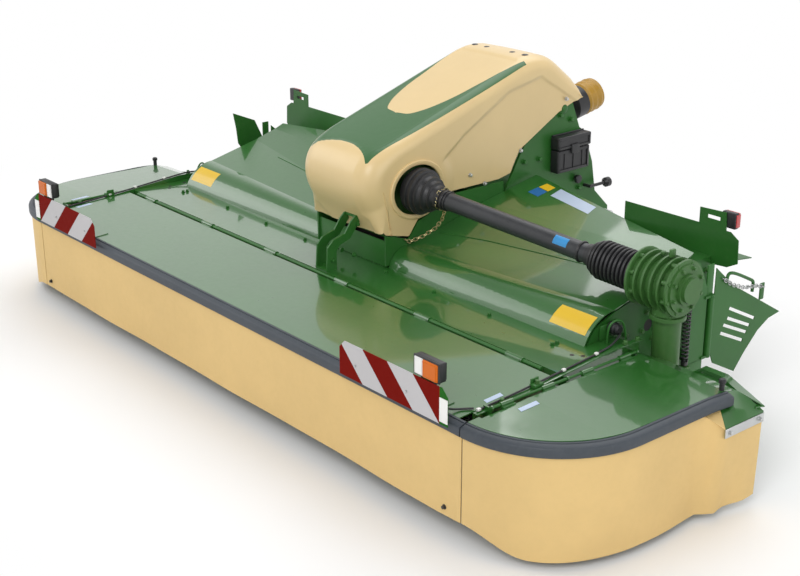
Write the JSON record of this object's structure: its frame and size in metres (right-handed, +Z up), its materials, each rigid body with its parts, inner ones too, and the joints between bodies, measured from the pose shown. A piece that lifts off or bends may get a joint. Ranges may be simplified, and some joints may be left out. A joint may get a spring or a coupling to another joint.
{
  "type": "front disc mower",
  "caption": "Front-mounted disc mower with roller conditioner, folding front and side guards, centre gearbox under a cowl and a side gearbox over the cutterbar's end.",
  "frame": {"origin": "ground level under the middle of the machine's box, on its centre plane", "axes": "+X to the machine's left along the cutterbar, -Y to the front guard, +Y to the tractor, +Z up"},
  "size_m": [4.17, 2.4162, 1.3386],
  "materials": {
    "green_paint": "satin powder coat",
    "beige_moulding": "satin moulded plastic",
    "beige_skirt": "coated fabric rubber",
    "grey_bumper": "matt moulded rubber",
    "black_plastic": "matt",
    "yellow_plastic": "matt",
    "amber_lens": "gloss",
    "red_lens": "gloss",
    "board_red_white": "reflective",
    "cast_green": "painted casting",
    "steel": "bright zinc",
    "dark_steel": "worn",
    "roller_rubber": "matt"
  },
  "bodies": {
    "mower": {"bellows": "black_plastic", "carrier": "green_paint", "centre_gearbox": "cast_green", "cowl": "beige_moulding", "cutterbar": "cast_green", "deck": "green_paint", "document_box": "black_plastic", "drive_column": "cast_green", "end_plate_left": "green_paint", "end_plate_right": "green_paint", "front_strut": "green_paint", "guard_bell": "black_plastic", "guard_tube": "black_plastic", "hand_lever": "steel", "head_low_tube": "green_paint", "head_plate_left": "green_paint", "head_plate_right": "green_paint", "head_top_tube": "green_paint", "hinge_rails": "green_paint", "hinge_rods": "steel", "hood_left": "green_paint", "hood_right": "green_paint", "input_bell": "yellow_plastic", "input_guard": "black_plastic", "lamp_plates": "green_paint", "lower_gearbox": "cast_green", "lower_link_pins": "steel", "main_beam": "green_paint", "rear_deflector": "green_paint", "rear_lamps": "red_lens", "side_gearbox": "cast_green", "skid_shoes": "dark_steel", "swath_posts": "green_paint", "tension_spring": "dark_steel"},
    "front_guard": {"front_panel": "green_paint", "front_bumper": "grey_bumper", "front_skirt": "beige_skirt", "warning_boards": "board_red_white", "front_lamps": "amber_lens"},
    "side_guard_left": {"side_panel_left": "green_paint", "side_bumper_left": "grey_bumper", "side_skirt_left": "beige_skirt"},
    "side_guard_right": {"side_panel_right": "green_paint", "side_bumper_right": "grey_bumper", "side_skirt_right": "beige_skirt"},
    "upper_roller": {"upper_roller": "roller_rubber"},
    "lower_roller": {"lower_roller": "roller_rubber"},
    "input_shaft": {"input_yoke": "steel"},
    "parking_stand_left": {"parking_stand_left": "green_paint"},
    "parking_stand_right": {"parking_stand_right": "green_paint"},
    "swath_board_left": {"swath_board_left": "green_paint"},
    "swath_board_right": {"swath_board_right": "green_paint"},
    "rotor_1": {"rotor_1": "dark_steel"},
    "rotor_2": {"rotor_2": "dark_steel"},
    "rotor_3": {"rotor_3": "dark_steel"},
    "rotor_4": {"rotor_4": "dark_steel"},
    "rotor_5": {"rotor_5": "dark_steel"},
    "rotor_6": {"rotor_6": "dark_steel"},
    "rotor_7": {"rotor_7": "dark_steel"},
    "rotor_8": {"rotor_8": "dark_steel"}
  },
  "joints": [
    {"name": "front_guard_hinge", "type": "hinge", "parent": "mower", "child": "front_guard", "pos_m": [0, -0.66712, 0.511], "axis": [-1, 0, 0], "range_deg": [0, 85]},
    {"name": "side_guard_left_hinge", "type": "hinge", "parent": "mower", "child": "side_guard_left", "pos_m": [1.586, -0.64812, 0.505], "axis": [0, -1, 0], "range_deg": [0, 70]},
    {"name": "side_guard_right_hinge", "type": "hinge", "parent": "mower", "child": "side_guard_right", "pos_m": [-1.586, -0.64812, 0.505], "axis": [0, 1, 0], "range_deg": [0, 70]},
    {"name": "rotor_1_spin", "type": "hinge", "parent": "mower", "child": "rotor_1", "pos_m": [-1.575, -0.48812, 0.109], "axis": [0, 0, 1], "continuous": true},
    {"name": "rotor_2_spin", "type": "hinge", "parent": "mower", "child": "rotor_2", "pos_m": [-1.125, -0.48812, 0.109], "axis": [0, 0, 1], "continuous": true},
    {"name": "rotor_3_spin", "type": "hinge", "parent": "mower", "child": "rotor_3", "pos_m": [-0.675, -0.48812, 0.109], "axis": [0, 0, 1], "continuous": true},
    {"name": "rotor_4_spin", "type": "hinge", "parent": "mower", "child": "rotor_4", "pos_m": [-0.225, -0.48812, 0.109], "axis": [0, 0, 1], "continuous": true},
    {"name": "rotor_5_spin", "type": "hinge", "parent": "mower", "child": "rotor_5", "pos_m": [0.225, -0.48812, 0.109], "axis": [0, 0, 1], "continuous": true},
    {"name": "rotor_6_spin", "type": "hinge", "parent": "mower", "child": "rotor_6", "pos_m": [0.675, -0.48812, 0.109], "axis": [0, 0, 1], "continuous": true},
    {"name": "rotor_7_spin", "type": "hinge", "parent": "mower", "child": "rotor_7", "pos_m": [1.125, -0.48812, 0.109], "axis": [0, 0, 1], "continuous": true},
    {"name": "rotor_8_spin", "type": "hinge", "parent": "mower", "child": "rotor_8", "pos_m": [1.575, -0.48812, 0.109], "axis": [0, 0, 1], "continuous": true},
    {"name": "upper_roller_spin", "type": "hinge", "parent": "mower", "child": "upper_roller", "pos_m": [0, -0.01159, 0.49974], "axis": [1, 0, 0], "continuous": true},
    {"name": "lower_roller_spin", "type": "hinge", "parent": "mower", "child": "lower_roller", "pos_m": [0, -0.09812, 0.262], "axis": [1, 0, 0], "continuous": true},
    {"name": "input_shaft_spin", "type": "hinge", "parent": "mower", "child": "input_shaft", "pos_m": [0, 0.09188, 0.8], "axis": [0, 0.9792, 0.203], "continuous": true},
    {"name": "parking_stand_left_fold", "type": "hinge", "parent": "mower", "child": "parking_stand_left", "pos_m": [0.75, 0.45188, 0.565], "axis": [1, 0, 0], "range_deg": [0, 85]},
    {"name": "parking_stand_right_fold", "type": "hinge", "parent": "mower", "child": "parking_stand_right", "pos_m": [-0.75, 0.45188, 0.565], "axis": [1, 0, 0], "range_deg": [0, 85]},
    {"name": "swath_board_left_swing", "type": "hinge", "parent": "mower", "child": "swath_board_left", "pos_m": [1.552, 0.22388, 0.472], "axis": [0, 0, 1], "range_deg": [0, 30]},
    {"name": "swath_board_right_swing", "type": "hinge", "parent": "mower", "child": "swath_board_right", "pos_m": [-1.552, 0.22388, 0.472], "axis": [0, 0, -1], "range_deg": [0, 30]}
  ],
  "couplings": [
    {"joint": "rotor_2_spin", "follows": "rotor_1_spin", "ratio": -1},
    {"joint": "rotor_3_spin", "follows": "rotor_1_spin", "ratio": 1},
    {"joint": "rotor_4_spin", "follows": "rotor_1_spin", "ratio": -1},
    {"joint": "rotor_5_spin", "follows": "rotor_1_spin", "ratio": 1},
    {"joint": "rotor_6_spin", "follows": "rotor_1_spin", "ratio": -1},
    {"joint": "rotor_7_spin", "follows": "rotor_1_spin", "ratio": 1},
    {"joint": "rotor_8_spin", "follows": "rotor_1_spin", "ratio": -1},
    {"joint": "lower_roller_spin", "follows": "upper_roller_spin", "ratio": -1}
  ]
}
